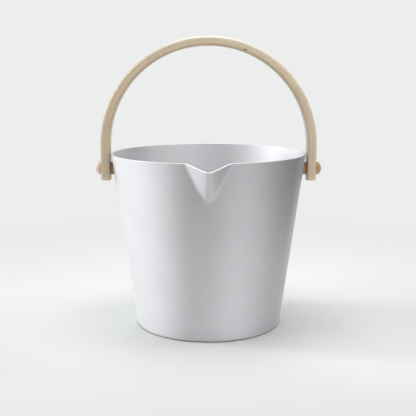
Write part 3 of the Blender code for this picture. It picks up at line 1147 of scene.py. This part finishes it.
def studio_board(colours):
    """Matt white board: near the bucket it takes the shadow, and far off it is all backdrop.

    The eye gets an even white, with painted shade that dims it a little towards the camera.
    """
    material, tree, shader = new_finish("matt_studio_board", metallic=0.0)
    place = add_node(tree, "ShaderNodeTexCoord", {}).outputs["Object"]
    # Painted shade dims the board towards the camera
    back = add_node(tree, "ShaderNodeVectorMath", {0: place, 1: DIM_LINE}, operation="DOT_PRODUCT")
    dimming = add_node(
        tree,
        "ShaderNodeMapRange",
        {"Value": back.outputs["Value"], "From Min": DIM_FRONT, "From Max": DIM_BACK, "To Min": DIM_SHADE},
    )
    white = add_node(tree, "ShaderNodeVectorMath", {0: colours.floor, "Scale": dimming}, operation="SCALE")
    feed(tree, shader, {"Base Color": white, "Roughness": 0.9, "Specular IOR Level": 0.0})
    distance = add_node(tree, "ShaderNodeVectorMath", {0: place}, operation="LENGTH").outputs["Value"]
    fade = add_node(
        tree,
        "ShaderNodeMapRange",
        {"Value": distance, "From Min": FADE_NEAR, "From Max": FADE_FAR},
        interpolation_type="SMOOTHSTEP",
    )
    shown = add_node(tree, "ShaderNodeMath", {0: fade, 1: seen_directly(tree)}, operation="MULTIPLY")
    backdrop = add_node(tree, "ShaderNodeEmission", {"Color": rgba(colours.backdrop)})
    board = add_node(tree, "ShaderNodeMixShader", {0: shown, 1: shader, 2: backdrop})
    feed(tree, tree.nodes["Material Output"], {"Surface": board})
    return material


def hang_curtain(colours):
    """Black duvetyne round the front of the table: seen in the pail, it darkens the upper wall."""
    material, tree, shader = new_finish("black_duvetyne", metallic=0.0)
    feed(tree, shader, {"Base Color": rgba(colours.curtain), "Roughness": 1.0, "Specular IOR Level": 0.0})
    first, last = CURTAIN_ENDS
    foot = Matrix.Rotation(last, 3, "Z") @ Vector((0, -CURTAIN_RADIUS, 0))
    curtain = start_line("studio_curtain", [foot, foot + Vector((0, 0, CURTAIN_HEIGHT))])
    bpy.ops.mesh.select_all(action="SELECT")
    bpy.ops.mesh.spin(steps=CURTAIN_STEPS, angle=last - first, center=(0, 0, 0), axis=(0, 0, 1))
    merge_doubles()
    close_mesh()
    curtain.data.materials.append(material)
    curtain.visible_camera = False
    curtain.visible_diffuse = False
    curtain.visible_shadow = False


def light_room(scene, colours):
    """The world: a pale backdrop where it is seen, and even light elsewhere."""
    world = bpy.data.worlds.new("studio")
    world.use_nodes = True
    scene.world = world
    tree = world.node_tree
    room = tree.nodes["Background"]
    feed(tree, room, {"Color": rgba(colours.backdrop), "Strength": AMBIENT})
    seen = add_node(tree, "ShaderNodeBackground", {"Color": rgba(colours.backdrop), "Strength": 1.0})
    mixed = add_node(tree, "ShaderNodeMixShader", {0: seen_directly(tree), 1: room, 2: seen})
    feed(tree, tree.nodes["World Output"], {"Surface": mixed})


class BUCKET_OT_stage(Operator):
    """Lay the floor, set the soft boxes and the camera"""

    bl_idname = "bucket.stage"
    bl_label = "Studio"

    def execute(self, context):
        colours = context.scene.bucket_colours
        bpy.ops.object.select_all(action="DESELECT")
        bpy.ops.mesh.primitive_circle_add(
            vertices=TURN_STEPS, radius=FLOOR_RADIUS, fill_type="NGON", location=(0, 0, -FLOOR_DROP)
        )
        floor = context.object
        floor.name = "studio_floor"
        floor.data.materials.append(studio_board(colours))

        for name, azimuth, elevation, distance, width, height, power in SOFT_BOXES:
            lift = Matrix.Rotation(math.radians(-elevation), 3, "X")
            away = Matrix.Rotation(math.radians(azimuth), 3, "Z") @ lift @ Vector((0, -distance, 0))
            facing = (-away).to_track_quat("-Z", "Y").to_euler()
            bpy.ops.object.light_add(type="AREA", location=AIM + away, rotation=facing)
            box = context.object
            box.name = name
            box.data.shape = "RECTANGLE"
            box.data.size = width
            box.data.size_y = height
            box.data.energy = power
        light_room(context.scene, colours)
        hang_curtain(colours)

        bpy.ops.object.camera_add(location=CAMERA_PLACE, rotation=(CAMERA_PITCH, 0, 0))
        camera = context.object
        camera.data.sensor_width = SENSOR
        camera.data.lens = LENS
        context.scene.camera = camera
        context.scene.view_settings.view_transform = "Standard"
        return {"FINISHED"}


# Add-on


class VIEW3D_PT_bucket(Panel):
    """Builds the bucket piece by piece"""

    bl_label = "Sauna Bucket"
    bl_space_type = "VIEW_3D"
    bl_region_type = "UI"
    bl_category = "Bucket"

    def draw(self, context):
        for operator in OPERATORS:
            self.layout.operator(operator.bl_idname)
        for group in (context.scene.bucket_sizes, context.scene.bucket_colours):
            column = self.layout.column()
            for name in group.__annotations__:
                column.prop(group, name)


OPERATORS = (
    BUCKET_OT_pail,
    BUCKET_OT_bow,
    BUCKET_OT_bosses,
    BUCKET_OT_screws,
    BUCKET_OT_brasses,
    BUCKET_OT_stage,
)
CLASSES = (BucketSizes, BucketColours, *OPERATORS, VIEW3D_PT_bucket)


def register():
    for kind in CLASSES:
        bpy.utils.register_class(kind)
    bpy.types.Scene.bucket_sizes = PointerProperty(type=BucketSizes)
    bpy.types.Scene.bucket_colours = PointerProperty(type=BucketColours)


def unregister():
    del bpy.types.Scene.bucket_sizes
    del bpy.types.Scene.bucket_colours
    for kind in reversed(CLASSES):
        bpy.utils.unregister_class(kind)


def main():
    register()
    bpy.ops.bucket.pail()
    bpy.ops.bucket.bow()
    bpy.ops.bucket.bosses()
    bpy.ops.bucket.screws()
    bpy.ops.bucket.brasses()
    bpy.ops.bucket.stage()


if __name__ == "__main__":
    main()
